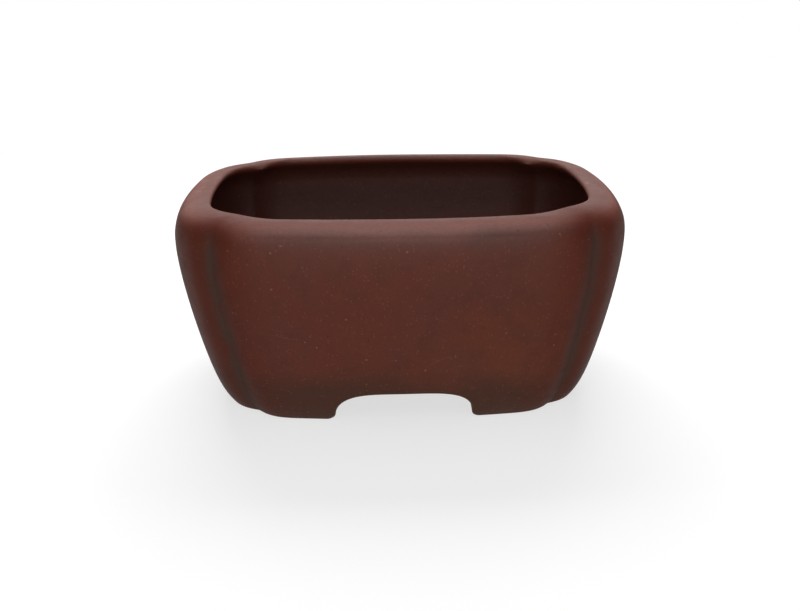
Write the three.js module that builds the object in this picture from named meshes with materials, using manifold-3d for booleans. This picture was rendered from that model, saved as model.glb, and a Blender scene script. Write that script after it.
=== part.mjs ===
// Bonsai pot with four soft lobes, slab built in dark stoneware.
// Millimetres, +Z up, origin at the middle of the footprint on the ground plane.
// Every clay slab is its own closed body: floor, four walls, four lip strips, four corner feet.
import * as THREE from 'three';
import { LoftGeometry } from 'three/addons/geometries/LoftGeometry.js';
import { mergeVertices } from 'three/addons/utils/BufferGeometryUtils.js';
import Module from 'manifold-3d';

const wasm = await Module();
wasm.setup();

// ---- overall size ----
const WIDTH = 125;           // X, at the belly
const DEPTH = 100;           // Y, at the belly
const HEIGHT = 57;           // ground to lip crest
const BELLY_Z = 48.4;        // level of the widest outline; the lip is luted on here
const SEAM = 0.3;            // clearance left in every luted joint

// ---- plan outline: two long arcs, two short arcs, four tangent corner arcs ----
const LONG_R = 240;          // front and back
const SHORT_R = 160;         // left and right
const CORNER_R = 29.5;       // at the belly
const CORNER_SHRINK = 0.58;  // corner radius lost per mm of inset
const GROOVE_AT = 0.41;      // where the groove sits along the corner arc

// ---- soft groove pressed into every corner: [depth, half width, rounding of its bottom] ----
const GROOVE_WALL = [1.9, 8.4, 1.0];
const GROOVE_CREST = [1.9, 9.6, 2.0];
const GROOVE_MOUTH = [2.9, 15.3, 4.5];
const GROOVE_THROAT = [3.2, 9.0, 1.0];
const GROOVE_INSIDE = [2.2, 10.0, 1.2];

// ---- outer wall profile, h = 0 at the belly and 1 at the ground ----
// inset = TAPER (sqrt(h^2 + EASE^2) - EASE) + BOW h^2 + TUCK h^14
const TAPER = 7.6;           // straight lean of the wall
const EASE = 0.15;           // share of the height over which the lean fades out at the belly
const BOW = 4.2;             // belly of the profile
const TUCK = 1.9;            // small turned-in edge at the ground
const WALL_T = 5.2;          // horizontal thickness of the wall slabs

// ---- lip strip, rolled inward ----
const LIP_REACH = 8.8;       // inset of the crest
const LIP_RISE = 7.0;        // fullness of the shoulder
const LIP_FLAT = 5.0;        // flatness towards the crest
const LIP_CREST = 5.0;       // inset where the groove changes from the wall's to the mouth's
const MOUTH_R = 1.2;         // rounding of the mouth edge
const MOUTH_LAND = 1.6;      // short upright face under the mouth edge
const THROAT_DROP = 2.6;     // how far the underside of the lip hangs before it turns outwards
const THROAT_RISE = 4.2;     // how far it runs up from its seat on the wall

// ---- feet and the low arches between them ----
const ARCH_H = 9.1;          // underside of the walls
const ARCH_LONG = 18.4;      // half width of the arch, front and back
const ARCH_SHORT = 12;       // half width of the arch, left and right
const ARCH_POWER = 4;        // flatness of the middle of the arch
const ARCH_TURN = 0.4;       // sweep of its shoulders
const FOOT_ROUND = 1.6;      // rounding where an arch reaches the ground
const FOOT_T = 9.0;          // how far a foot reaches in under the floor
const FOOT_BEVEL = 0.8;      // softened inner edge of the sole
const FOOT_TIP = 0.6;        // thinnest end of a foot where the arch fairs into the wall
const FOOT_LEVELS = [0, 0.06, 0.16, 0.35, 1];

// ---- floor slab ----
const FLOOR_T = 4.5;
const COVE_R = 4.0;          // clay pushed up against the walls all round
const COVE_EDGE = 0.6;       // width of the top edge of the cove
const DRAIN_R = 6.5;
const DRAIN_X = 19;          // drain holes left and right of the middle

// ---- sampling ----
const SIDE_STEPS = 13;       // stations from a groove to the middle of a side
const GRADE = 1.6;           // stations crowd towards the groove
const WALL_STEPS = 10;
const SHOULDER_STEPS = 12;
const THROAT_STEPS = 6;
const DRAIN_SIDES = 40;
const JOIN = 1e-5;           // corners closer than this are one

const clay = (color, roughness) => new THREE.MeshStandardMaterial({ color, roughness, metalness: 0 });
const WALL_CLAY = clay('#4a2b24', 0.55);
const LIP_CLAY = clay('#5a3a33', 0.5);
const FOOT_CLAY = clay('#442720', 0.6);
const FLOOR_CLAY = clay('#3f2620', 0.7);

// Front right quarter of the outline shrunk by `inset`, as arcs in the quadrant x > 0, y > 0.
function quarter(inset) {
  const a = WIDTH / 2 - inset;
  const b = DEPTH / 2 - inset;
  const rc = CORNER_R - CORNER_SHRINK * inset;
  const c1 = new THREE.Vector2(0, b - LONG_R);
  const c2 = new THREE.Vector2(a - SHORT_R, 0);
  const r1 = LONG_R - rc;
  const r2 = SHORT_R - rc;
  const d = c2.clone().sub(c1);
  const span = d.length();
  const along = (r1 * r1 - r2 * r2 + span * span) / (2 * span);
  const off = Math.sqrt(r1 * r1 - along * along);
  d.divideScalar(span);
  const corner = new THREE.Vector2(c1.x + along * d.x + off * d.y, c1.y + along * d.y - off * d.x);
  const t1 = Math.atan2(corner.x - c1.x, corner.y - c1.y);
  const t2 = Math.atan2(corner.y - c2.y, corner.x - c2.x);
  const longLen = LONG_R * t1;
  const cornerLen = rc * (Math.PI / 2 - t1 - t2);
  const shortLen = SHORT_R * t2;
  const groove = longLen + GROOVE_AT * cornerLen;
  return { rc, c1, c2, corner, t1, t2, longLen, cornerLen, groove, total: longLen + cornerLen + shortLen };
}

// Point and outward normal at distance s along a quarter outline, from the middle of the long side.
function alongQuarter(q, s) {
  let centre = q.c1;
  let radius = LONG_R;
  let angle = s / LONG_R;
  if (s > q.longLen + q.cornerLen) {
    centre = q.c2;
    radius = SHORT_R;
    angle = Math.PI / 2 - q.t2 + (s - q.longLen - q.cornerLen) / SHORT_R;
  } else if (s > q.longLen) {
    centre = q.corner;
    radius = q.rc;
    angle = q.t1 + (s - q.longLen) / q.rc;
  }
  const normal = new THREE.Vector2(Math.sin(angle), Math.cos(angle));
  return { point: normal.clone().multiplyScalar(radius).add(centre), normal };
}

// Plan position on one side: v = -1 and 1 are the two grooves, 0 the middle of the side.
// `gap` keeps the station that far from the centre of the groove.
function planPoint(side, v, level, gap) {
  const q = quarter(level.inset);
  const isLong = side === 'front' || side === 'back';
  const length = sideLength(side, level.inset);
  const t = gap + (1 - Math.abs(v)) * (length - gap);
  const { point, normal } = alongQuarter(q, isLong ? q.groove - t : q.groove + t);
  const [depth, half, soften] = level.groove;
  const press = depth * Math.max(1 - Math.hypot(t, soften) / half, 0) ** 2;
  point.addScaledVector(normal, -press);
  const hand = v < 0 ? -1 : 1;
  if (side === 'front') return new THREE.Vector3(hand * point.x, -point.y, level.z);
  if (side === 'back') return new THREE.Vector3(hand * point.x, point.y, level.z);
  if (side === 'left') return new THREE.Vector3(-point.x, hand * point.y, level.z);
  return new THREE.Vector3(point.x, hand * point.y, level.z);
}

// Stations from a groove (1) to the middle (0), crowded towards the groove, then mirrored.
function sideStations() {
  const half = Array.from({ length: SIDE_STEPS + 1 }, (_, k) => 1 - (k / SIDE_STEPS) ** GRADE);
  return [...half.map((v) => -v), ...half.reverse().slice(1)];
}

function wallInset(z) {
  const h = (BELLY_Z - z) / BELLY_Z;
  return TAPER * (Math.hypot(h, EASE) - EASE) + BOW * h * h + TUCK * h ** 14;
}

const mix = (a, b, k) => a.map((value, i) => value + (b[i] - value) * k);
const outerLevel = (z) => ({ inset: wallInset(z), z, groove: GROOVE_WALL });
const innerLevel = (z, extra = 0) => ({ inset: wallInset(z) + WALL_T + extra, z, groove: GROOVE_INSIDE });
const steps = (n, from, to) => Array.from({ length: n + 1 }, (_, k) => from + ((to - from) * k) / n);

// Closed body from a loft; sections are turned so that its faces point outwards.
function solid(sections) {
  const area = new THREE.Vector3();
  const travel = new THREE.Vector3();
  sections[0].forEach((p, k, section) => {
    area.add(p.clone().cross(section[(k + 1) % section.length]));
    travel.add(sections[1][k]).sub(p);
  });
  const outward = area.dot(travel) > 0;
  const ordered = outward ? sections : sections.map((section) => section.slice().reverse());
  const loft = new LoftGeometry(ordered, { closed: true, capStart: true, capEnd: true });
  return merged(loft);
}

// Same surface with its shared corners joined.
function merged(geometry) {
  const plain = new THREE.BufferGeometry();
  plain.setAttribute('position', geometry.attributes.position);
  plain.setIndex(geometry.index);
  return mergeVertices(plain, JOIN);
}

// ---- walls: one slab per side, from the top of the feet to the belly ----
function wall(side) {
  const low = ARCH_H;
  const high = BELLY_Z - SEAM / 2;
  const profile = [
    ...steps(WALL_STEPS, low, high).map((z) => outerLevel(z)),
    ...steps(THROAT_STEPS, high, low).map((z) => innerLevel(z)),
  ];
  return solid(sideStations().map((v) => profile.map((level) => planPoint(side, v, level, SEAM / 2))));
}

// ---- lips: strips rolled inward, mitred in the grooves ----
function lipGroove(inset) {
  if (inset < LIP_CREST) return mix(GROOVE_WALL, GROOVE_CREST, inset / LIP_CREST);
  return mix(GROOVE_CREST, GROOVE_MOUTH, (inset - LIP_CREST) / (LIP_REACH - LIP_CREST));
}

function lipProfile() {
  const seat = BELLY_Z + SEAM / 2;
  const shoulder = new THREE.CubicBezierCurve(
    new THREE.Vector2(0, BELLY_Z), new THREE.Vector2(0, BELLY_Z + LIP_RISE),
    new THREE.Vector2(LIP_REACH - LIP_FLAT, HEIGHT), new THREE.Vector2(LIP_REACH, HEIGHT),
  );
  const mouth = LIP_REACH + MOUTH_R;
  const landZ = HEIGHT - MOUTH_R - MOUTH_LAND;
  const throat = new THREE.CubicBezierCurve(
    new THREE.Vector2(mouth, landZ), new THREE.Vector2(mouth, landZ - THROAT_DROP),
    new THREE.Vector2(WALL_T, BELLY_Z + THROAT_RISE), new THREE.Vector2(WALL_T, seat),
  );
  const levels = shoulder.getPoints(SHOULDER_STEPS).map((p) => (
    { inset: p.x, z: Math.max(p.y, seat), groove: lipGroove(p.x) }
  ));
  for (const angle of steps(3, 0, Math.PI / 2).slice(1)) {
    levels.push({
      inset: LIP_REACH + MOUTH_R * Math.sin(angle),
      z: HEIGHT - MOUTH_R * (1 - Math.cos(angle)),
      groove: GROOVE_MOUTH,
    });
  }
  throat.getPoints(THROAT_STEPS).forEach((p, k) => {
    levels.push({ inset: p.x, z: p.y, groove: mix(GROOVE_THROAT, GROOVE_INSIDE, k / THROAT_STEPS) });
  });
  return levels;
}

function lip(side) {
  const profile = lipProfile();
  return solid(sideStations().map((v) => profile.map((level) => planPoint(side, v, level, SEAM / 2))));
}

// ---- feet: one L-shaped block under each corner ----
// Height of the arch above the ground at distance c from the middle of a side.
function archZ(c, half) {
  const left = Math.min(half + FOOT_ROUND - c, FOOT_ROUND);
  if (left <= 0) return 0;
  if (c >= half) return FOOT_ROUND - Math.sqrt(FOOT_ROUND ** 2 - left ** 2);
  return FOOT_ROUND + (ARCH_H - FOOT_ROUND) * (1 - (c / half) ** ARCH_POWER) ** ARCH_TURN;
}

// Length of an outline from the middle of a side to its groove.
function sideLength(side, inset) {
  const q = quarter(inset);
  return side === 'front' || side === 'back' ? q.groove : q.total - q.groove;
}

// Stations of one arm of a foot as distances from the middle of the side, arch end first.
function armStations(half, length) {
  const top = ARCH_H - SEAM - FOOT_TIP;
  const rise = (top - FOOT_ROUND) / (ARCH_H - FOOT_ROUND);
  const tip = half * (1 - rise ** (1 / ARCH_TURN)) ** (1 / ARCH_POWER);
  const sole = half + FOOT_ROUND;
  const flank = steps(8, 0, 1).map((k) => tip + (half - tip) * (1 - (1 - k) ** 2));
  const round = steps(3, 0, Math.PI / 2).slice(1).map((a) => half + FOOT_ROUND * (1 - Math.cos(a)));
  const rest = steps(7, 0, 1).slice(1).map((k) => sole + (length - sole) * (1 - (1 - k) ** GRADE));
  return [...flank, ...round, ...rest];
}

// Upright section of a foot: square to the wall along the arch, turning into the mitre at the groove.
function footSection(side, hand, c, half, length) {
  const low = archZ(c, half);
  const high = ARCH_H - SEAM;
  const tall = high - low;
  const inner = wallInset(0) + FOOT_T;
  const bevel = Math.min(FOOT_BEVEL, 0.3 * tall);
  const turn = Math.max(0, (c - half - FOOT_ROUND) / (length - half - FOOT_ROUND));
  const levels = FOOT_LEVELS.map((k) => outerLevel(low + tall * k));
  levels.push({ inset: inner, z: high, groove: GROOVE_INSIDE });
  levels.push({ inset: inner, z: low + bevel, groove: GROOVE_INSIDE });
  levels.push({ inset: inner - bevel, z: low, groove: GROOVE_INSIDE });
  return levels.map((level) => {
    const own = sideLength(side, level.inset);
    return planPoint(side, (hand * (c + (own - length) * turn)) / own, level, 0);
  });
}

function footArm(side, hand, half) {
  const length = sideLength(side, wallInset(0));
  return armStations(half, length).map((c) => footSection(side, hand, c, half, length));
}

function foot(longSide, shortSide) {
  const longArm = footArm(longSide, shortSide === 'right' ? 1 : -1, ARCH_LONG);
  const shortArm = footArm(shortSide, longSide === 'back' ? 1 : -1, ARCH_SHORT);
  return solid([...longArm, ...shortArm.reverse().slice(1)]);
}

// ---- floor: slab between the walls with a cove round its edge and two drain holes ----
function ring(level) {
  const forward = sideStations().slice(0, -1);
  const backward = forward.map((v) => -v);
  return [
    ...forward.map((v) => planPoint('front', v, level, 0)),
    ...forward.map((v) => planPoint('right', v, level, 0)),
    ...backward.map((v) => planPoint('back', v, level, 0)),
    ...backward.map((v) => planPoint('left', v, level, 0)),
  ];
}

function toManifold(geometry) {
  return new wasm.Manifold(new wasm.Mesh({
    numProp: 3,
    vertProperties: new Float32Array(geometry.attributes.position.array),
    triVerts: new Uint32Array(geometry.index.array),
  }));
}

function fromManifold(body) {
  const mesh = body.getMesh();
  const geometry = new THREE.BufferGeometry();
  geometry.setAttribute('position', new THREE.BufferAttribute(mesh.vertProperties, 3));
  geometry.setIndex(new THREE.BufferAttribute(mesh.triVerts, 1));
  return geometry;
}

function floorSlab() {
  const low = ARCH_H;
  const top = low + FLOOR_T;
  const rim = top + COVE_R;
  const edge = wallInset(rim) + WALL_T + SEAM + COVE_EDGE;
  const bowl = steps(4, 0, Math.PI / 2).map((angle) => ({
    inset: edge + COVE_R * (1 - Math.sin(angle)),
    z: rim - COVE_R * Math.cos(angle),
    groove: GROOVE_INSIDE,
  }));
  bowl.push({ inset: edge, z: rim + 1, groove: GROOVE_INSIDE });
  const slab = [low, top, rim].map((z) => innerLevel(z, SEAM));
  let body = toManifold(solid(slab.map(ring))).subtract(toManifold(solid(bowl.map(ring))));
  for (const x of [-DRAIN_X, DRAIN_X]) {
    const drill = new THREE.CylinderGeometry(DRAIN_R, DRAIN_R, 2 * FLOOR_T, DRAIN_SIDES);
    drill.rotateX(Math.PI / 2).translate(x, 0, low + FLOOR_T / 2);
    body = body.subtract(toManifold(merged(drill)));
  }
  return fromManifold(body);
}

// ---- assembly ----
const pot = new THREE.Group();
pot.name = 'bonsai_pot';

function add(name, geometry, material) {
  geometry.computeVertexNormals();
  const mesh = new THREE.Mesh(geometry, material);
  mesh.name = name;
  pot.add(mesh);
}

add('floor_slab', floorSlab(), FLOOR_CLAY);
for (const side of ['front', 'back', 'left', 'right']) {
  add(`${side}_wall`, wall(side), WALL_CLAY);
  add(`${side}_lip`, lip(side), LIP_CLAY);
}
for (const longSide of ['front', 'back']) {
  for (const shortSide of ['left', 'right']) {
    add(`foot_${longSide}_${shortSide}`, foot(longSide, shortSide), FOOT_CLAY);
  }
}

export default pot;
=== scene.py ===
"""Bonsai pot with four soft lobes, in unglazed purple-brown stoneware.

The pot is one fired skin. Every clay slab of the frame gets a fine piece. Walls, lips and feet lie on
one shared surface and meet exactly in the luted joints, so that the joints don't show.
Lengths are in millimetres until a mesh is made, then in metres.
"""
import math

import bpy
import numpy as np
from mathutils import Matrix, Vector


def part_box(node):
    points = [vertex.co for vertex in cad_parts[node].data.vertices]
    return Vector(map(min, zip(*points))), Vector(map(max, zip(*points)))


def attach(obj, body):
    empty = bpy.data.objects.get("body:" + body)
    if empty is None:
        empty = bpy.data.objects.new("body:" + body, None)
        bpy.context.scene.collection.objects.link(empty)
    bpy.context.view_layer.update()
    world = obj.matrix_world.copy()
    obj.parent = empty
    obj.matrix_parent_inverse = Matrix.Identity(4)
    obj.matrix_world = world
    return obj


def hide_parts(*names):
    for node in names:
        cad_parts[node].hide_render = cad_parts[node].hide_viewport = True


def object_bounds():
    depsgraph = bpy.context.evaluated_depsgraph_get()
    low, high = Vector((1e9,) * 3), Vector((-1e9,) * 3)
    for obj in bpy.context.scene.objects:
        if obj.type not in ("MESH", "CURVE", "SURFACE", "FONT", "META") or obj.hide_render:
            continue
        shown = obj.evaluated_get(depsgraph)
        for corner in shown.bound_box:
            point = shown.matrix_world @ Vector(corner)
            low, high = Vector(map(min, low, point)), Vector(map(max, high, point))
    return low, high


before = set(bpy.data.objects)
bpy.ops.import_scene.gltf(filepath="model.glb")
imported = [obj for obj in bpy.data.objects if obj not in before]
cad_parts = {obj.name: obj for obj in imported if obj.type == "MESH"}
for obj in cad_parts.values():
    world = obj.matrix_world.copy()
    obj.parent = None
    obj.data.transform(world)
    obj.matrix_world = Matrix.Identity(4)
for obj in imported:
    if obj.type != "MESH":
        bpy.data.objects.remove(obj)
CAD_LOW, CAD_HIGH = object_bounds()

MM = 0.001
ROOT = "root"


def node_z(node):
    """Lowest and highest level of a CAD node, in mm."""
    low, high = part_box(node)
    return low.z / MM, high.z / MM


# ---- sizes that the frame gives ----
HALF_W = (CAD_HIGH.x - CAD_LOW.x) / 2 / MM
HALF_D = (CAD_HIGH.y - CAD_LOW.y) / 2 / MM
HEIGHT = CAD_HIGH.z / MM
ARCH_H, WALL_TOP = node_z("front_wall")
LIP_BOTTOM = node_z("front_lip")[0]
FOOT_TOP = node_z("foot_front_left")[1]
BELLY_Z = (WALL_TOP + LIP_BOTTOM) / 2
SEAM_Z = (FOOT_TOP + ARCH_H) / 2
FLOOR_LOW, COVE_TOP = node_z("floor_slab")

# ---- plan outline: arcs with a soft groove pressed into every corner ----
LONG_R = 240
SHORT_R = 160
CORNER_R = 29.5
CORNER_SHRINK = 0.58
GROOVE_AT = 0.41
GROOVE_WALL = (1.9, 8.4, 1.0)      # depth, half width, rounding of its bottom
GROOVE_CREST = (1.9, 9.6, 2.0)
GROOVE_MOUTH = (2.9, 15.3, 4.5)
GROOVE_CUSP = (3.1, 10.0, 1.0)
GROOVE_INSIDE = (2.2, 10.0, 1.2)
HOLLOW_SHADE_AND_MATT = 9.5                  # reach of the painted shade by the grooves; the sheen there is lower too, as the burnishing tool didn't reach it
GROOVE_DARK = 2.9                  # half width of the grey streak in the groove, partly dust and partly painted sheen and shade

# ---- wall and lip profile ----
TAPER = 7.6
EASE = 0.15
BOW = 4.2
TUCK = 1.9
WALL_T = 5.2
LIP_REACH = 9.0
LIP_RISE = 7.0
LIP_FLAT = 5.2
LIP_CREST = 5.0       # inset where the groove changes from the wall's to the mouth's
MOUTH_R = 1.0
MOUTH_TURN = math.radians(122)     # how far the mouth edge rolls over before the throat
THROAT_LEAD = 1.8     # how far the throat carries on inward under the mouth edge
THROAT_RISE = 4.2     # how far it runs up from its seat on the wall
CUSP_FROM = 0.2       # share of the mouth edge where its groove starts to pinch in

# ---- feet, arches and floor ----
ARCH_LONG = 18.4
ARCH_SHORT = 12
ARCH_POWER = 4
ARCH_TURN = 0.42
FOOT_ROUND = 2.2      # corner of a foot at the arch, rounder than in the CAD
FOOT_T = 9.0
FOOT_BEVEL = 0.8
FOOT_FEATHER = 0.04   # what is left of a foot where the arch fairs into the wall
EDGE_R = 0.6          # softened outer edge along the arches and soles
COVE_H = 4.0
COVE_R = 3.5
DRAIN_R = 6.5
DRAIN_X = 19
DRAIN_LIP = 0.8       # softened edge of the drain holes
FLOOR_TOP = COVE_TOP - COVE_H
FLOOR_GAP = 0.02      # clearance between the floor slab and the walls
COVE_EDGE = 0.06      # inset of the cove's thin top edge from the walls

# ---- unevenness of hand building ----
RIM_HIGH = 0.33       # the rim stands this much higher at the right end
FOOT_SPLAY = 0.9      # the left front foot leans out this much at its arch
SPLAY_X = -19.5

# ---- sampling ----
SIDE_STEPS = 90
STEP = 1e-4           # for numeric derivatives of the surfaces

SIDES = ("front", "back", "left", "right")


# ---------------------------------------------------------------- surfaces

def quarter(inset):
    """Arcs of one quarter of the outline shrunk by inset, in the quadrant x > 0, y > 0."""
    a = HALF_W - inset
    b = HALF_D - inset
    rc = CORNER_R - CORNER_SHRINK * inset
    y1 = b - LONG_R
    x2 = a - SHORT_R
    r1 = LONG_R - rc
    r2 = SHORT_R - rc
    span = np.hypot(x2, y1)
    dx, dy = x2 / span, -y1 / span
    along = (r1 * r1 - r2 * r2 + span * span) / (2 * span)
    off = np.sqrt(r1 * r1 - along * along)
    ex = along * dx + off * dy
    ey = y1 + along * dy - off * dx
    t1 = np.arctan2(ex, ey - y1)
    t2 = np.arctan2(ey, ex - x2)
    long_len = LONG_R * t1
    corner_len = rc * (math.pi / 2 - t1 - t2)
    groove = long_len + GROOVE_AT * corner_len
    total = long_len + corner_len + SHORT_R * t2
    return dict(rc=rc, y1=y1, x2=x2, ex=ex, ey=ey, t1=t1, t2=t2, long_len=long_len,
                corner_len=corner_len, groove=groove, total=total)


def is_long(side):
    return side in ("front", "back")


def side_length(side, inset):
    """Length of the outline from the middle of a side to its groove."""
    q = quarter(inset)
    return q["groove"] if is_long(side) else q["total"] - q["groove"]


def handle(x, y, z):
    """The slight unevenness of hand building, the same for every piece, nothing at the ground."""
    hold = np.clip(z / 8, 0, 1) ** 2
    push = 0.10 * np.sin(x / 17 + 0.6) * np.cos(z / 13 + 1.1) + 0.07 * np.sin(y / 12 - x / 29 + z / 21)
    high = RIM_HIGH * np.clip((x - 8) / 34, 0, 1) ** 1.5
    splay = -FOOT_SPLAY * np.exp(-((x - SPLAY_X) / 4) ** 2) * np.clip(1 - z / 8.5, 0, 1) * (y < -30)
    upper = (z / HEIGHT) ** 4
    rise = upper * (0.12 * np.sin(x / 23 + 1.9) + 0.08 * np.sin(y / 15 + x / 31) + high)
    return np.stack([x * (1 + hold * push / 60) + splay, y * (1 + hold * push / 45),
                     z + rise - 0.2 * upper], -1)


def place(side, v, inset, z, groove):
    """Surface point on a side: v = -1 and 1 are its grooves; groove is as in GROOVE_WALL."""
    v, inset, z, depth, half, soften = np.broadcast_arrays(v, inset, z, *groove)
    q = quarter(inset)
    length = q["groove"] if is_long(side) else q["total"] - q["groove"]
    t = (1 - np.abs(v)) * length
    s = q["groove"] - t if is_long(side) else q["groove"] + t
    on_long = s <= q["long_len"]
    on_short = s > q["long_len"] + q["corner_len"]
    angle = np.where(on_long, s / LONG_R, q["t1"] + (s - q["long_len"]) / q["rc"])
    past = s - q["long_len"] - q["corner_len"]
    angle = np.where(on_short, math.pi / 2 - q["t2"] + past / SHORT_R, angle)
    radius = np.where(on_long, LONG_R, np.where(on_short, SHORT_R, q["rc"]))
    cx = np.where(on_long, 0, np.where(on_short, q["x2"], q["ex"]))
    cy = np.where(on_long, q["y1"], np.where(on_short, 0, q["ey"]))
    reach = radius - depth * np.maximum(1 - np.hypot(t, soften) / half, 0) ** 2
    x = cx + reach * np.sin(angle)
    y = cy + reach * np.cos(angle)
    hand = np.where(v < 0, -1, 1)
    if is_long(side):
        x, y = hand * x, (y if side == "back" else -y)
    else:
        x, y = (x if side == "right" else -x), hand * y
    return handle(x, y, z)


def wall_inset(z):
    h = (BELLY_Z - z) / BELLY_Z
    return TAPER * (np.hypot(h, EASE) - EASE) + BOW * h ** 2 + TUCK * np.abs(h) ** 14


def arch_z(c, half):
    """Height of the arch's edge at distance c from the middle of a side."""
    arch = FOOT_ROUND + (ARCH_H - FOOT_ROUND) * np.clip(1 - (c / half) ** ARCH_POWER, 0, 1) ** ARCH_TURN
    turn = np.clip(half + FOOT_ROUND - c, 0, FOOT_ROUND)
    base = FOOT_ROUND - np.sqrt(FOOT_ROUND ** 2 - turn ** 2)
    return np.where(c < half, arch, base)


def arch_line(half):
    """Points along the arch's edge and on along the sole, evenly enough to measure distance to."""
    share = np.linspace(0, 1, 200)
    flank = half * (1 - (1 - share) ** 2.5) ** 0.7
    foot = half + FOOT_ROUND * (1 - np.cos(np.linspace(0, math.pi / 2, 16)[1:]))
    sole = np.linspace(half + FOOT_ROUND, 60, 90)[1:]
    c = np.concatenate([flank, foot, sole])
    return c, arch_z(c, half)


def edge_inset(c, z, half):
    """Extra inset that rounds the outer edge within EDGE_R of the arch or the sole."""
    line_c, line_z = arch_line(half)
    near = z < ARCH_H + EDGE_R
    gap = np.full(z.shape, EDGE_R)
    flat_c, flat_z = c[near], z[near]
    a = np.stack([line_c[:-1], line_z[:-1]], -1)
    ab = np.stack([np.diff(line_c), np.diff(line_z)], -1)
    p = np.stack([flat_c, flat_z], -1)[:, None, :]
    k = np.clip(((p - a) * ab).sum(-1) / (ab ** 2).sum(-1), 0, 1)
    away = np.linalg.norm(p - a - k[..., None] * ab, axis=-1).min(1)
    gap[near] = np.minimum(away, EDGE_R)
    return EDGE_R - np.sqrt(EDGE_R ** 2 - (EDGE_R - gap) ** 2)


def arch_half(side):
    return ARCH_LONG if is_long(side) else ARCH_SHORT


def outer_skin(side, v, z):
    v, z = np.broadcast_arrays(v, z)
    inset = wall_inset(z)
    c = np.abs(v) * side_length(side, inset)
    return place(side, v, inset + edge_inset(c, z, arch_half(side)), z, GROOVE_WALL)


def inner_skin(side, v, z):
    return place(side, v, wall_inset(z) + WALL_T, z, GROOVE_INSIDE)


def bezier(p0, p1, p2, p3, t):
    t = t[..., None]
    p0, p1, p2, p3 = (np.array(p, float) for p in (p0, p1, p2, p3))
    return (1 - t) ** 3 * p0 + 3 * (1 - t) ** 2 * t * p1 + 3 * (1 - t) * t ** 2 * p2 + t ** 3 * p3


def mix(a, b, k):
    return tuple(p + (q - p) * k for p, q in zip(a, b))


def lip_skin(side, v, w):
    """w runs 0..1 over the shoulder, 1..2 round the mouth edge, 2..3 down the throat to the seat."""
    v, w = np.broadcast_arrays(v, w)
    shoulder = bezier((0, BELLY_Z), (0, BELLY_Z + LIP_RISE), (LIP_REACH - LIP_FLAT, HEIGHT),
                      (LIP_REACH, HEIGHT), np.minimum(w, 1))
    bend = np.clip(w - 1, 0, 1) * MOUTH_TURN
    edge = np.stack([LIP_REACH + MOUTH_R * np.sin(bend), HEIGHT - MOUTH_R * (1 - np.cos(bend))], -1)
    drop = np.clip(w - 2, 0, 1.01)
    reach = LIP_REACH + MOUTH_R * math.sin(MOUTH_TURN)
    under_edge = HEIGHT - MOUTH_R * (1 - math.cos(MOUTH_TURN))
    lead = (reach + THROAT_LEAD * math.cos(MOUTH_TURN), under_edge - THROAT_LEAD * math.sin(MOUTH_TURN))
    throat = bezier((reach, under_edge), lead,
                    (WALL_T, BELLY_Z + THROAT_RISE), (WALL_T, BELLY_Z), drop)
    point = np.where((w <= 1)[..., None], shoulder, np.where((w <= 2)[..., None], edge, throat))
    inset = point[..., 0]
    outside = mix(GROOVE_WALL, GROOVE_CREST, np.clip(inset / LIP_CREST, 0, 1))
    top = mix(GROOVE_CREST, GROOVE_MOUTH, np.clip((inset - LIP_CREST) / (LIP_REACH - LIP_CREST), 0, 1))
    pinch = np.clip((w - 1 - CUSP_FROM) / (1 - CUSP_FROM), 0, 1)
    under = mix(mix(GROOVE_MOUTH, GROOVE_CUSP, pinch), GROOVE_INSIDE, drop)
    groove = tuple(np.where(w > 1, c, np.where(inset < LIP_CREST, a, b))
                   for a, b, c in zip(outside, top, under))
    return place(side, v, point[..., 0], point[..., 1], groove)


def with_normals(skin, side, v, w, outward=1):
    """Grid of points and unit normals; outward is 1 where w climbs the outside of the pot."""
    v, w = np.broadcast_arrays(v, w)
    along = skin(side, v + STEP, w) - skin(side, v - STEP, w)
    up = skin(side, v, w + STEP) - skin(side, v, w - STEP)
    normal = np.cross(along, up)
    normal /= np.linalg.norm(normal, axis=-1, keepdims=True)
    turn = 1 if side in ("front", "right") else -1
    return skin(side, v, w), normal * turn * outward


# ---------------------------------------------------------------- meshes

def make_piece(name, body, shade, node):
    """Closed mesh piece standing for a CAD node. Faces marked smooth take the given vertex normals."""
    points, normals, faces, smooth = body
    points = np.asarray(points, float)
    faces = [tuple(int(i) for i in f) for f in faces]
    mesh = bpy.data.meshes.new(name)
    mesh.from_pydata((points * MM).tolist(), [], faces)
    mesh.polygons.foreach_set("use_smooth", [True] * len(faces))
    mesh.update()
    flat = np.empty(len(faces) * 3)
    mesh.polygons.foreach_get("normal", flat)
    flat = flat.reshape(-1, 3)
    loops = np.concatenate([normals[list(f)] if s else np.tile(flat[i], (len(f), 1))
                            for i, (f, s) in enumerate(zip(faces, smooth))])
    mesh.normals_split_custom_set(loops.tolist())
    for key, values in shade.items():
        mesh.attributes.new(key, "FLOAT", "POINT").data.foreach_set("value", values.ravel())
    piece = bpy.data.objects.new(name, mesh)
    bpy.context.collection.objects.link(piece)
    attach(piece, ROOT)
    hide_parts(node)
    return piece


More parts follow.
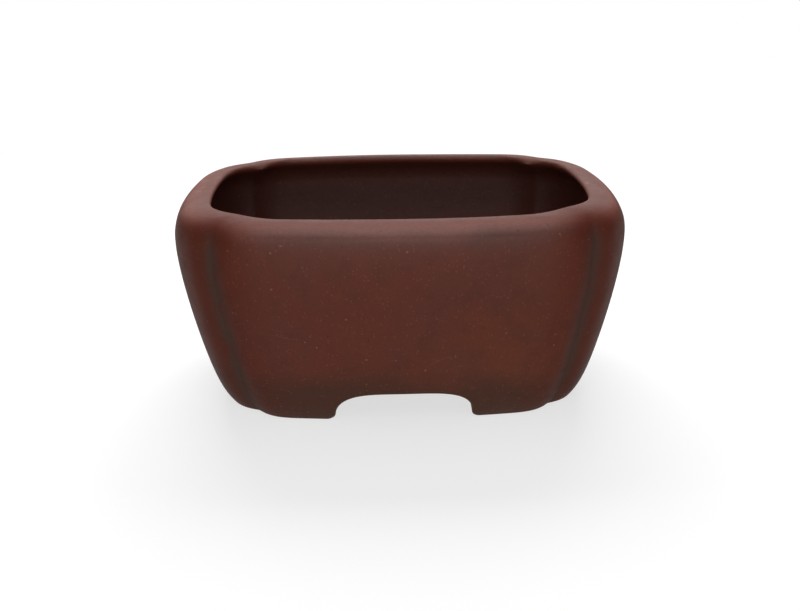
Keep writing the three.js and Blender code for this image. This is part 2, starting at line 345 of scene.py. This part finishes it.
def loft(sections, normals, skinned):
    """Closed body through sections (stations x points). skinned[j] says if the strip j to j+1 is skin."""
    n, m = sections.shape[:2]
    index = np.arange(n * m).reshape(n, m)
    faces, smooth = [], []
    for j in range(m):
        k = (j + 1) % m
        a, b, c, d = index[:-1, j], index[1:, j], index[1:, k], index[:-1, k]
        faces += np.stack([a, b, c, d], -1).tolist()
        smooth += [skinned[j]] * (n - 1)
    for row, turn in ((index[0], 1), (index[-1], -1)):
        for j in range(m // 2 - 1):
            quad = [row[j], row[j + 1], row[m - 2 - j], row[m - 1 - j]][::turn]
            faces.append(quad)
            smooth.append(False)
        if m % 2:
            mid = m // 2
            faces.append([row[mid - 1], row[mid], row[mid + 1]][::turn])
            smooth.append(False)
    points = sections.reshape(-1, 3)
    if volume(points, faces) < 0:
        faces = [f[::-1] for f in faces]
    return points, normals.reshape(-1, 3), faces, smooth


def volume(points, faces):
    total = 0.0
    for size in (3, 4):
        group = np.array([f for f in faces if len(f) == size])
        if len(group):
            a = points[group[:, 0]]
            for k in range(1, size - 1):
                total += np.einsum("ij,ij->", a, np.cross(points[group[:, k]], points[group[:, k + 1]]))
    return total


def side_stations():
    """v from groove to groove, crowded towards the grooves."""
    k = np.linspace(0, 1, SIDE_STEPS + 1)
    half = 1 - k ** 1.9
    return np.concatenate([-half, half[::-1][1:]])[:, None]


def rise_steps(count=44):
    """0..1 up a wall, with rows crowded in the rounded edge at the bottom."""
    edge = EDGE_R * (1 - np.cos(np.linspace(0, math.pi / 2, 9))) / BELLY_Z
    return np.concatenate([edge, edge[-1] + (1 - edge[-1]) * np.linspace(0, 1, count)[1:] ** 1.05])


def groove_shade(side, v, inset, reach=GROOVE_DARK):
    """1 in the middle of the groove, fading out over reach."""
    t = (1 - np.abs(v)) * side_length(side, inset)
    return np.exp(-(t / reach) ** 2)


def make_wall(side):
    v = side_stations()
    c = np.abs(v) * side_length(side, wall_inset(SEAM_Z))
    low = np.maximum(arch_z(c, arch_half(side)), SEAM_Z)
    z = low + (BELLY_Z - low) * rise_steps()
    outer, outer_n = with_normals(outer_skin, side, v, z)
    inner, inner_n = with_normals(inner_skin, side, v, z, outward=-1)
    sections = np.concatenate([outer, inner[:, ::-1]], 1)
    normals = np.concatenate([outer_n, inner_n[:, ::-1]], 1)
    m = z.shape[1]
    skinned = [j not in (m - 1, 2 * m - 1) for j in range(2 * m)]
    dark = groove_shade(side, v, wall_inset(z))
    hollow_shade_and_matt = groove_shade(side, v, wall_inset(z), HOLLOW_SHADE_AND_MATT)
    shade = {"groove": np.concatenate([dark, np.zeros_like(dark)], 1),
             "hollow_shade_and_matt": np.concatenate([hollow_shade_and_matt, np.zeros_like(dark)], 1),
             "inside": np.concatenate([np.zeros_like(dark), np.ones_like(dark)], 1)}
    body = loft(sections, normals, skinned)
    return make_piece(f"{side}_wall_clay", body, shade, f"{side}_wall")


def make_lip(side):
    w = np.concatenate([np.linspace(0, 1, 45), 1 + np.linspace(0, 1, 11)[1:], 2 + np.linspace(0, 1, 25)[1:]])
    w[44], w[54] = 1 - STEP, 2 - STEP
    v = side_stations()
    sections, normals = with_normals(lip_skin, side, v, w[None, :])
    skinned = [j != len(w) - 1 for j in range(len(w))]
    fade = np.clip(1 - w / 0.45, 0, 1)[None, :]
    fall = np.clip((1.15 - w) / 0.5, 0, 1)[None, :]
    shade = {"groove": groove_shade(side, v, 0.0) * fade,
             "hollow_shade_and_matt": groove_shade(side, v, 0.0, HOLLOW_SHADE_AND_MATT) * fall,
             "rim": np.exp(-((w - 1.6) / 0.5) ** 2)[None, :] * np.ones_like(v),
             "inside": np.clip((w - 2.0) / 0.25, 0, 1)[None, :] * np.ones_like(v)}
    body = loft(sections, normals, skinned)
    return make_piece(f"{side}_lip_clay", body, shade, f"{side}_lip")


def foot_arm(side, hand):
    """Sections of one arm of a foot, from the tip under the wall to the groove."""
    half = arch_half(side)
    length = float(side_length(side, wall_inset(0.0)))
    rise = (SEAM_Z - FOOT_FEATHER - FOOT_ROUND) / (ARCH_H - FOOT_ROUND)
    tip = half * (1 - rise ** (1 / ARCH_TURN)) ** (1 / ARCH_POWER)
    sole = half + FOOT_ROUND
    k = np.linspace(0, 1, 49)
    flank = tip + (half - tip) * (1 - (1 - k) ** 2)
    turn = half + FOOT_ROUND * (1 - np.cos(np.linspace(0, math.pi / 2, 13)[1:]))
    ease = sole + EDGE_R * 1.5 * np.linspace(0, 1, 13)[1:] ** 1.5
    rest = ease[-1] + (length - ease[-1]) * (1 - (1 - np.linspace(0, 1, 61)[1:]) ** 1.7)
    c = np.concatenate([flank, turn, ease, rest])[:, None]
    low = arch_z(c, half)
    tall = SEAM_Z - low
    rows = np.minimum(EDGE_R * (1 - np.cos(np.linspace(0, math.pi / 2, 9))), 1) / SEAM_Z
    rows = np.concatenate([rows, np.linspace(rows[-1], 1, 12)[1:]])[None, :]
    z = low + tall * rows
    bend = np.clip((c - sole) / (length - sole), 0, None)

    def share(inset):
        own = side_length(side, inset)
        return hand * (c + (own - length) * bend) / own

    outer, outer_n = with_normals(outer_skin, side, share(wall_inset(z)), z)
    inner = wall_inset(0.0) + FOOT_T
    bevel = np.minimum(FOOT_BEVEL, 0.45 * tall)
    a = np.linspace(0, math.pi / 2, 7)[None, :]
    inner_inset = np.concatenate([np.full_like(c, inner), inner - bevel * (1 - np.cos(a))], 1)
    inner_z = np.concatenate([np.full_like(c, SEAM_Z), low + bevel * (1 - np.sin(a))], 1)
    inside = place(side, share(inner_inset), inner_inset, inner_z, GROOVE_INSIDE)
    inside_zero = np.zeros(inside.shape[:2])
    inset = wall_inset(z)
    dark, hollow_shade_and_matt = (np.concatenate([groove_shade(side, share(inset), inset, reach), inside_zero], 1)
                    for reach in (GROOVE_DARK, HOLLOW_SHADE_AND_MATT))
    return np.concatenate([outer, inside], 1), outer_n, dark, hollow_shade_and_matt


def make_foot(long_side, short_side):
    long_arm = foot_arm(long_side, 1 if short_side == "right" else -1)
    short_arm = foot_arm(short_side, 1 if long_side == "back" else -1)
    sections, skin, dark, hollow_shade_and_matt = (np.concatenate([a, b[::-1][1:]]) for a, b in zip(long_arm, short_arm))
    m = skin.shape[1]
    count = sections.shape[1]
    normals = np.zeros_like(sections)
    normals[:, :m] = skin
    skinned = [j < m - 1 for j in range(count)]
    body = loft(sections, normals, skinned)
    name = f"foot_{long_side}_{short_side}"
    piece = make_piece(f"{name}_clay", body, {"groove": dark, "hollow_shade_and_matt": hollow_shade_and_matt}, name)
    soften(piece, body[3])
    return piece


def soften(piece, fixed):
    """Smooth the faces that have no surface normal of their own, where they meet gently."""
    mesh = piece.data
    count = len(mesh.polygons)
    flat = np.empty(count * 3)
    mesh.polygons.foreach_get("normal", flat)
    flat = flat.reshape(-1, 3)
    loops = np.empty(len(mesh.loops) * 3)
    mesh.corner_normals.foreach_get("vector", loops)
    loops = loops.reshape(-1, 3)
    area = np.empty(count)
    mesh.polygons.foreach_get("area", area)
    around = {}
    for polygon in mesh.polygons:
        if not fixed[polygon.index]:
            for vertex in polygon.vertices:
                around.setdefault(vertex, []).append(polygon.index)
    for polygon in mesh.polygons:
        if fixed[polygon.index]:
            continue
        own = flat[polygon.index]
        for loop, vertex in zip(polygon.loop_indices, polygon.vertices):
            near = [i for i in around[vertex] if flat[i] @ own > 0.5]
            total = (flat[near] * area[near, None]).sum(0)
            size = np.linalg.norm(total)
            if size > 1e-12:
                loops[loop] = total / size
    mesh.normals_split_custom_set(loops.tolist())


def ring(inset, z, groove):
    """One closed outline, counter-clockwise from the left end of the front."""
    v = side_stations()[:-1, 0]
    ahead = [place(side, v, inset, z, groove) for side in ("front", "right")]
    back = [place(side, -v, inset, z, groove) for side in ("back", "left")]
    return np.concatenate(ahead + back)


def ring_body(name, rings):
    """Closed mesh through rings from the bottom up, with a flat face at each end."""
    count = len(rings[0])
    faces = [list(range(count))[::-1], [(len(rings) - 1) * count + i for i in range(count)]]
    for k in range(len(rings) - 1):
        for i in range(count):
            j = (i + 1) % count
            faces.append([k * count + i, k * count + j, (k + 1) * count + j, (k + 1) * count + i])
    mesh = bpy.data.meshes.new(name)
    mesh.from_pydata((np.concatenate(rings) * MM).tolist(), [], faces)
    mesh.update()
    body = bpy.data.objects.new(name, mesh)
    bpy.context.collection.objects.link(body)
    return body


def circle(x, radius, z, count=96):
    a = np.arange(count) / count * 2 * math.pi
    return np.stack([x + radius * np.cos(a), radius * np.sin(a), np.full(count, z)], -1)


def make_drill(x):
    """Cutter for a drain hole whose edges are softened at both faces of the floor."""
    bend = np.linspace(0, math.pi / 2, 7)
    low = [circle(x, DRAIN_R + DRAIN_LIP * (1 - math.sin(a)), FLOOR_LOW + DRAIN_LIP * (1 - math.cos(a)))
           for a in bend]
    top = [circle(x, DRAIN_R + DRAIN_LIP * (1 - math.cos(a)), FLOOR_TOP - DRAIN_LIP * (1 - math.sin(a)))
           for a in bend]
    wide = DRAIN_R + DRAIN_LIP
    return ring_body("drill", [circle(x, wide, FLOOR_LOW - 2)] + low + top + [circle(x, wide, FLOOR_TOP + 2)])


def make_floor():
    levels = np.linspace(FLOOR_LOW, COVE_TOP, 7)
    rings = [ring(wall_inset(z) + WALL_T + FLOOR_GAP, z, GROOVE_INSIDE) for z in levels]
    for a in np.linspace(0, math.pi / 2, 12):
        z = COVE_TOP - COVE_H * math.sin(a)
        inset = wall_inset(z) + WALL_T + COVE_EDGE + COVE_R * (1 - math.cos(a))
        rings.append(ring(inset, z, GROOVE_INSIDE))
    floor = ring_body("floor_slab_clay", rings)
    for x in (-DRAIN_X, DRAIN_X):
        drill = make_drill(x)
        cut = floor.modifiers.new("drain", "BOOLEAN")
        cut.operation = "DIFFERENCE"
        cut.solver = "EXACT"
        cut.object = drill
        bpy.context.view_layer.update()
        done = bpy.data.meshes.new_from_object(floor.evaluated_get(bpy.context.evaluated_depsgraph_get()))
        floor.modifiers.clear()
        floor.data = done
        bpy.data.objects.remove(drill)
    floor.data.polygons.foreach_set("use_smooth", [True] * len(floor.data.polygons))
    floor.data.set_sharp_from_angle(angle=math.radians(40))
    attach(floor, ROOT)
    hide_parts("floor_slab")
    return floor


# ---------------------------------------------------------------- clay

class Nodes:
    """Short forms for building a node tree."""

    def __init__(self, tree):
        self.tree = tree
        tree.nodes.clear()

    def add(self, kind, **settings):
        node = self.tree.nodes.new(kind)
        for key, value in settings.items():
            setattr(node, key, value)
        return node

    def feed(self, socket, value):
        if isinstance(value, bpy.types.NodeSocket):
            self.tree.links.new(value, socket)
        else:
            socket.default_value = value

    def math(self, operation, a, b=0.0, c=0.0):
        node = self.add("ShaderNodeMath", operation=operation)
        for socket, value in zip(node.inputs, (a, b, c)):
            self.feed(socket, value)
        return node.outputs[0]

    def blend(self, factor, a, b):
        node = self.add("ShaderNodeMix", data_type="RGBA")
        self.feed(node.inputs["Factor"], factor)
        self.feed(node.inputs["A"], a)
        self.feed(node.inputs["B"], b)
        return node.outputs["Result"]

    def ramp(self, value, low, high):
        node = self.add("ShaderNodeMapRange", interpolation_type="SMOOTHSTEP")
        self.feed(node.inputs["Value"], value)
        self.feed(node.inputs["From Min"], low)
        self.feed(node.inputs["From Max"], high)
        return node.outputs["Result"]

    def stretched(self, vector, scale):
        node = self.add("ShaderNodeMapping")
        self.feed(node.inputs["Vector"], vector)
        node.inputs["Scale"].default_value = scale
        return node.outputs["Vector"]

    def noise(self, vector, size_mm, detail=2.0, rough=0.5):
        node = self.add("ShaderNodeTexNoise")
        self.feed(node.inputs["Vector"], vector)
        node.inputs["Scale"].default_value = 1 / (size_mm * MM)
        node.inputs["Detail"].default_value = detail
        node.inputs["Roughness"].default_value = rough
        return node.outputs["Fac"]

    def grains(self, vector, cell_mm, radius_mm, share):
        """1 inside round grains: one grain per cell, kept in a share of the cells."""
        node = self.add("ShaderNodeTexVoronoi")
        self.feed(node.inputs["Vector"], vector)
        node.inputs["Scale"].default_value = 1 / (cell_mm * MM)
        pick = self.add("ShaderNodeSeparateColor")
        self.feed(pick.inputs[0], node.outputs["Color"])
        kept = self.math("LESS_THAN", pick.outputs[0], share)
        size = self.math("MULTIPLY_ADD", pick.outputs[1], radius_mm / cell_mm, 0.4 * radius_mm / cell_mm)
        inside = self.ramp(self.math("DIVIDE", node.outputs["Distance"], size), 1.0, 0.7)
        return self.math("MULTIPLY", inside, kept)


# linear colours of the clay and what shows on it, painted light and shade among them
CLAY_RED = (0.118, 0.0230, 0.0100, 1)
CLAY_ORANGE = (0.128, 0.0270, 0.0080, 1)
CLAY_PLUM = (0.100, 0.0240, 0.0150, 1)
CLAY_DEEP = (0.080, 0.0185, 0.0090, 1)
CLAY_HOLLOW_SHADE = (0.096, 0.0160, 0.0075, 1)   # painted shade: darker red by the grooves
CLAY_FOOT_SHADE = (0.055, 0.0185, 0.0078, 1)     # painted shade: darker near the ground
CLAY_RIM_PAINTED_LIGHT = (0.195, 0.0460, 0.0280, 1)      # painted light: the thin rim and upper shoulder lighter, for the overhead light
CLAY_TOP_PAINTED_LIGHT = (0.148, 0.0400, 0.0270, 1)      # the flat of the rim, painted lighter and more neutral for the overhead light and its sheen
CLAY_INSIDE_SHADE = (0.086, 0.0280, 0.0190, 1)   # painted shade: the upper inside darker and greyer under the lip
CLAY_GREY_DUST_AND_SHEEN = (0.068, 0.0370, 0.0280, 1)     # grey in the grooves: partly dust, partly painted sheen and shade
CLAY_MOUTH_EDGE_SHADE = (0.125, 0.0430, 0.0290, 1)     # painted shade: the mouth edge's rounding a deeper red-brown
GROG_PALE = (0.30, 0.145, 0.100, 1)
GROG_TAN = (0.225, 0.072, 0.048, 1)
IRON = (0.040, 0.0130, 0.0085, 1)
SCRATCH = (0.22, 0.105, 0.070, 1)

# faint scratches on the front: middle x, z, half length, slope, bend per mm, in mm
SCRATCHES = ((9.4, 20.1, 4.6, 0.41, -0.055), (-31.0, 27.0, 4.0, -0.22, 0.012))
# the same on top of the rim: middle x, y, half length, slope, bend
RIM_SCRATCHES = ((-56.1, 2.0, 1.3, 0.3, 0.0), (-56.7, -3.1, 1.5, -0.35, 0.0),
                 (53.7, -4.4, 1.0, 0.9, 0.0))
RIM_SCRATCH_WIDTH = 0.9


def scratch_mask(n, along, across, marks, width=0.3):
    """1 on the given curved scratches, fading out towards their ends."""
    total = None
    for middle, level, half, slope, bend in marks:
        u = n.math("SUBTRACT", along, middle * MM)
        curve = n.math("MULTIPLY", n.math("MULTIPLY", u, u), bend / MM)
        line = n.math("ADD", n.math("MULTIPLY", u, slope), curve)
        gap = n.math("ABSOLUTE", n.math("SUBTRACT", n.math("SUBTRACT", across, level * MM), line))
        on_line = n.ramp(gap, width * MM * (1 + abs(slope)), 0.0)
        on_length = n.ramp(n.math("ABSOLUTE", u), half * MM, 0.35 * half * MM)
        mark = n.math("MULTIPLY", on_line, on_length)
        total = mark if total is None else n.math("MAXIMUM", total, mark)
    return total


def make_clay(name, dry=0.0, sheen=0.25):
    """Unglazed stoneware: mottled body, fine grog, burnishing streaks, a soft waxy sheen."""
    material = bpy.data.materials.new(name)
    material.use_nodes = True
    n = Nodes(material.node_tree)
    here = n.add("ShaderNodeTexCoord").outputs["Object"]
    split = n.add("ShaderNodeSeparateXYZ")
    n.feed(split.inputs[0], here)
    x, y, z = split.outputs
    groove = n.add("ShaderNodeAttribute", attribute_name="groove").outputs["Fac"]
    rim = n.add("ShaderNodeAttribute", attribute_name="rim").outputs["Fac"]
    hollow_shade_and_matt = n.add("ShaderNodeAttribute", attribute_name="hollow_shade_and_matt").outputs["Fac"]
    inside = n.add("ShaderNodeAttribute", attribute_name="inside").outputs["Fac"]

    # body colour: broad patches from the kiln, a redder right side, clouds, painted shade darkening the foot,
    # painted light on the shoulder and rim
    drift = n.math("MULTIPLY", n.math("SUBTRACT", n.noise(here, 30, 3.0), 0.5), 60 * MM)
    warm = n.math("MULTIPLY", n.ramp(n.math("ADD", x, drift), -18 * MM, 40 * MM),
                  n.ramp(n.math("ADD", z, drift), 46 * MM, 22 * MM))
    plum = n.math("MULTIPLY", n.ramp(n.noise(here, 21, 3.0, 0.55), 0.46, 0.64), 0.6)
    cloud = n.math("MULTIPLY", n.ramp(n.noise(here, 6, 4.0, 0.6), 0.42, 0.72), 0.45)
    speckle = n.math("MULTIPLY", n.ramp(n.noise(here, 0.9, 3.0, 0.7), 0.44, 0.70), 0.32)
    colour = n.blend(warm, CLAY_RED, CLAY_ORANGE)
    colour = n.blend(plum, colour, CLAY_PLUM)
    colour = n.blend(cloud, colour, CLAY_DEEP)
    # painted shade: darker towards the ground, where the tucked-in wall gets less light from above
    low = n.ramp(n.math("ADD", z, n.math("MULTIPLY", drift, 0.3)), 19 * MM, 8 * MM)
    colour = n.blend(n.math("MULTIPLY", low, 0.85), colour, CLAY_FOOT_SHADE)
    # painted light: the upper shoulder and the flat of the rim made lighter, standing in for the overhead
    # light
    high = n.ramp(n.math("ADD", z, n.math("MULTIPLY", drift, 0.1)), 52.5 * MM, 56.2 * MM)
    colour = n.blend(high, colour, CLAY_RIM_PAINTED_LIGHT)
    colour = n.blend(n.ramp(z, 56.0 * MM, 56.9 * MM), colour, CLAY_TOP_PAINTED_LIGHT)
    # painted shade: darker red in the broad hollow by the grooves
    colour = n.blend(n.math("MULTIPLY", hollow_shade_and_matt, 0.75), colour, CLAY_HOLLOW_SHADE)
    # painted shade: the upper inside darker and greyer towards the lip
    colour = n.blend(n.math("MULTIPLY", inside, n.ramp(z, 30 * MM, 48 * MM)), colour, CLAY_INSIDE_SHADE)
    colour = n.blend(speckle, colour, CLAY_DEEP)

    # grog and iron specks in the body
    tan = n.grains(here, 0.95, 0.26, 0.60)
    pale = n.grains(n.stretched(here, (1.0, 1.0, 1.2)), 2.6, 0.30, 0.20)
    iron = n.grains(n.stretched(here, (1.1, 1.0, 1.0)), 2.2, 0.26, 0.30)
    colour = n.blend(n.math("MULTIPLY", iron, 0.55), colour, IRON)
    colour = n.blend(n.math("MULTIPLY", tan, 0.27), colour, GROG_TAN)
    pale_share = n.math("MULTIPLY_ADD", inside, -0.25, 0.42)     # fainter inside
    colour = n.blend(n.math("MULTIPLY", pale, pale_share), colour, GROG_PALE)

    # wear and painted light: grey in the grooves, partly dust and partly painted sheen and shade; the mouth
    # edge painted a deeper red-brown as painted shade; a few scratches
    # grey in the grooves: partly dust, partly painted sheen and painted shade
    groove_dust_and_sheen = n.math("MULTIPLY", groove, n.ramp(n.noise(here, 5, 3.0), 0.15, 0.55))
    colour = n.blend(n.math("MULTIPLY", groove_dust_and_sheen, 0.9), colour, CLAY_GREY_DUST_AND_SHEEN)
    # painted shade: the rounding of the mouth edge turned a deeper red-brown
    mouth_edge_shade = n.math("MULTIPLY", rim, n.ramp(n.noise(here, 4, 3.0), 0.2, 0.6))
    colour = n.blend(n.math("MULTIPLY", mouth_edge_shade, 0.6), colour, CLAY_MOUTH_EDGE_SHADE)
    broken = n.ramp(n.noise(here, 0.8, 2.0, 0.6), 0.38, 0.6)
    front = n.math("MULTIPLY", scratch_mask(n, x, z, SCRATCHES), n.ramp(y, 0.0, -30 * MM))
    top = n.math("MULTIPLY", scratch_mask(n, x, y, RIM_SCRATCHES, RIM_SCRATCH_WIDTH),
                 n.ramp(z, 53 * MM, 55 * MM))
    scratch = n.math("MAXIMUM", n.math("MULTIPLY", n.math("MULTIPLY", front, 0.3), broken), top)
    colour = n.blend(n.math("MULTIPLY", scratch, 0.7), colour, SCRATCH)

    # surface: burnishing streaks run round the pot, orange peel and fine grain between them
    streaks = n.noise(n.stretched(here, (0.12, 0.12, 1.0)), 0.7, 3.0, 0.6)
    fine = n.noise(here, 0.40, 2.0)
    peel = n.noise(here, 2.4, 2.0)
    dents = n.noise(here, 7.0, 1.0)
    rough = n.math("MULTIPLY_ADD", streaks, 0.16, 0.42 + dry)
    matt = n.math("MAXIMUM", groove_dust_and_sheen, n.math("MAXIMUM", tan, pale))
    rough = n.math("ADD", rough, n.math("MULTIPLY", matt, 0.18))
    rough = n.math("ADD", rough, n.math("MULTIPLY", cloud, 0.15))
    height = n.math("ADD", n.math("MULTIPLY", fine, 0.012), n.math("MULTIPLY", peel, 0.050))
    height = n.math("ADD", height, n.math("MULTIPLY", streaks, 0.012))
    height = n.math("ADD", height, n.math("MULTIPLY", dents, 0.10))
    height = n.math("ADD", height, n.math("MULTIPLY", n.math("SUBTRACT", tan, iron), 0.010))
    height = n.math("SUBTRACT", height, n.math("MULTIPLY", scratch, 0.015))
    bump = n.add("ShaderNodeBump")
    bump.inputs["Strength"].default_value = 1.0
    bump.inputs["Distance"].default_value = MM
    n.feed(bump.inputs["Height"], height)

    shader = n.add("ShaderNodeBsdfPrincipled")
    n.feed(shader.inputs["Base Color"], colour)
    n.feed(shader.inputs["Roughness"], rough)
    n.feed(shader.inputs["Normal"], bump.outputs["Normal"])
    burnish = n.math("MULTIPLY", n.math("MULTIPLY_ADD", hollow_shade_and_matt, -0.6, 1.0),
                     n.math("MULTIPLY_ADD", rim, -0.2, 1.0))
    n.feed(shader.inputs["Specular IOR Level"], n.math("MULTIPLY", burnish, sheen))
    out = n.add("ShaderNodeOutputMaterial")
    n.feed(out.inputs["Surface"], shader.outputs[0])
    return material


# ---------------------------------------------------------------- studio

CAMERA_AZIMUTH = -1.78
CAMERA_ELEVATION = 18.77
CAMERA_ROLL = -0.645
CAMERA_DISTANCE = 336
CAMERA_TARGET = (0.12, 0, 19.93)
CAMERA_LENS = 50.79

PAPER_NEAR = 150      # the paper is plainly lit out to here, in mm
PAPER_FAR = 420       # and evenly white from here on
PAPER_REACH = 2200    # half width of the paper
PAPER_GREY = 0.36     # how much light the near paper returns
PAPER_GLOW = 0.68     # and how much it gives off
ROOM = 2000           # radius of the white room
TABLE_LIGHT = 0.5     # world light from below the horizon
ROOM_LIGHT = 0.10     # and from above it

# softboxes: name, place and size in mm, strength as fill, strength as sheen
SOFTBOXES = (
    ("top_softbox", (0, 0, 900), (600, 600), 1.3, 9.2),
    ("back_softbox", (0, 700, 700), (900, 600), 12.5, 4.2),
    ("back_strip", (0, 900, 350), (1200, 300), 0, 1.7),
    ("front_high", (0, -650, 650), (900, 450), 1.4, 6.0),
    ("front_strip", (0, -900, 60), (900, 300), 3.1, 2.3),
    ("left_high", (-750, -150, 550), (500, 500), 0.2, 0),
)


def make_camera():
    azimuth, elevation, roll = (math.radians(d) for d in (CAMERA_AZIMUTH, CAMERA_ELEVATION, CAMERA_ROLL))
    back = Vector((math.sin(azimuth) * math.cos(elevation), -math.cos(azimuth) * math.cos(elevation),
                   math.sin(elevation)))
    right = Vector((0, 0, 1)).cross(back).normalized()
    up = back.cross(right)
    turn = Matrix.Rotation(roll, 3, back)
    camera = bpy.data.objects.new("camera", bpy.data.cameras.new("camera"))
    camera.data.lens = CAMERA_LENS
    camera.data.sensor_width = 36
    camera.data.clip_start = 0.01
    camera.matrix_world = Matrix.Translation((Vector(CAMERA_TARGET) + back * CAMERA_DISTANCE) * MM) @ (
        turn @ Matrix((right, up, back)).transposed()).to_4x4()
    bpy.context.collection.objects.link(camera)
    bpy.context.scene.camera = camera


def make_floor_plane():
    """Paper under the pot: lit and shaded near it, evenly white further out."""
    mesh = bpy.data.meshes.new("studio_floor")
    reach = PAPER_REACH * MM
    mesh.from_pydata([(-reach, -reach, 0), (reach, -reach, 0), (reach, reach, 0), (-reach, reach, 0)], [],
                     [(0, 1, 2, 3)])
    plane = bpy.data.objects.new("studio_floor", mesh)
    bpy.context.collection.objects.link(plane)
    plane.visible_diffuse = False
    plane.visible_glossy = False
    material = bpy.data.materials.new("studio_paper")
    material.use_nodes = True
    n = Nodes(material.node_tree)
    away = n.add("ShaderNodeVectorMath", operation="LENGTH")
    n.feed(away.inputs[0], n.add("ShaderNodeTexCoord").outputs["Object"])
    far = n.ramp(away.outputs["Value"], PAPER_NEAR * MM, PAPER_FAR * MM)
    near_share = n.math("SUBTRACT", 1.0, far)
    shader = n.add("ShaderNodeBsdfPrincipled")
    n.feed(shader.inputs["Base Color"], n.blend(far, (PAPER_GREY,) * 3 + (1,), (0, 0, 0, 1)))
    shader.inputs["Roughness"].default_value = 0.9
    shader.inputs["Specular IOR Level"].default_value = 0.0
    shader.inputs["Emission Color"].default_value = (1, 1, 1, 1)
    glow = n.math("ADD", far, n.math("MULTIPLY", near_share, PAPER_GLOW))
    n.feed(shader.inputs["Emission Strength"], glow)
    out = n.add("ShaderNodeOutputMaterial")
    n.feed(out.inputs["Surface"], shader.outputs[0])
    mesh.materials.append(material)


def make_room():
    """White room round the set. It is only looked at: it neither lights nor shades anything."""
    bpy.ops.mesh.primitive_uv_sphere_add(segments=48, ring_count=24, radius=ROOM * MM)
    room = bpy.context.object
    room.name = "studio_room"
    for ray in ("diffuse", "glossy", "transmission", "volume_scatter", "shadow"):
        setattr(room, f"visible_{ray}", False)
    material = bpy.data.materials.new("studio_white")
    material.use_nodes = True
    n = Nodes(material.node_tree)
    glow = n.add("ShaderNodeEmission")
    glow.inputs["Strength"].default_value = 1.0
    out = n.add("ShaderNodeOutputMaterial")
    n.feed(out.inputs["Surface"], glow.outputs[0])
    room.data.materials.append(material)


def make_light(name, place_mm, size_mm, fill, sheen):
    """One softbox at two strengths: fill lights the surfaces, sheen is what their gloss shows of it."""
    for kind, power in (("fill", fill), ("sheen", sheen)):
        if power:
            light = add_softbox(f"{name}_{kind}", place_mm, size_mm, power)
            light.visible_diffuse = kind == "fill"
            light.visible_glossy = kind == "sheen"


def add_softbox(name, place_mm, size_mm, power):
    data = bpy.data.lights.new(name, "AREA")
    data.shape = "RECTANGLE"
    data.size, data.size_y = (s * MM for s in size_mm)
    data.energy = power
    light = bpy.data.objects.new(name, data)
    light.location = Vector(place_mm) * MM
    aim = Vector((0, 0, 25 * MM)) - light.location
    light.rotation_euler = aim.to_track_quat("-Z", "Y").to_euler()
    bpy.context.collection.objects.link(light)
    return light


def make_world():
    """Light from below the horizon stands for the bright table round the pot."""
    world = bpy.data.worlds.new("studio")
    world.use_nodes = True
    n = Nodes(world.node_tree)
    split = n.add("ShaderNodeSeparateXYZ")
    n.feed(split.inputs[0], n.add("ShaderNodeTexCoord").outputs["Generated"])
    below = n.math("LESS_THAN", split.outputs[2], 0.0)
    sky = n.add("ShaderNodeBackground")
    sky.inputs["Color"].default_value = (1, 1, 1, 1)
    n.feed(sky.inputs["Strength"], n.math("MULTIPLY_ADD", below, TABLE_LIGHT - ROOM_LIGHT, ROOM_LIGHT))
    out = n.add("ShaderNodeOutputWorld")
    n.feed(out.inputs["Surface"], sky.outputs[0])
    bpy.context.scene.world = world


# ---------------------------------------------------------------- scene

make_camera()
clay = make_clay("clay_body")
clay_dry = make_clay("clay_floor", dry=0.2, sheen=0.12)
for side in SIDES:
    make_wall(side).data.materials.append(clay)
    make_lip(side).data.materials.append(clay)
for long_side in ("front", "back"):
    for short_side in ("left", "right"):
        make_foot(long_side, short_side).data.materials.append(clay)
make_floor().data.materials.append(clay_dry)
make_floor_plane()
make_room()
make_world()
for softbox in SOFTBOXES:
    make_light(*softbox)
bpy.context.scene.view_settings.view_transform = "Standard"
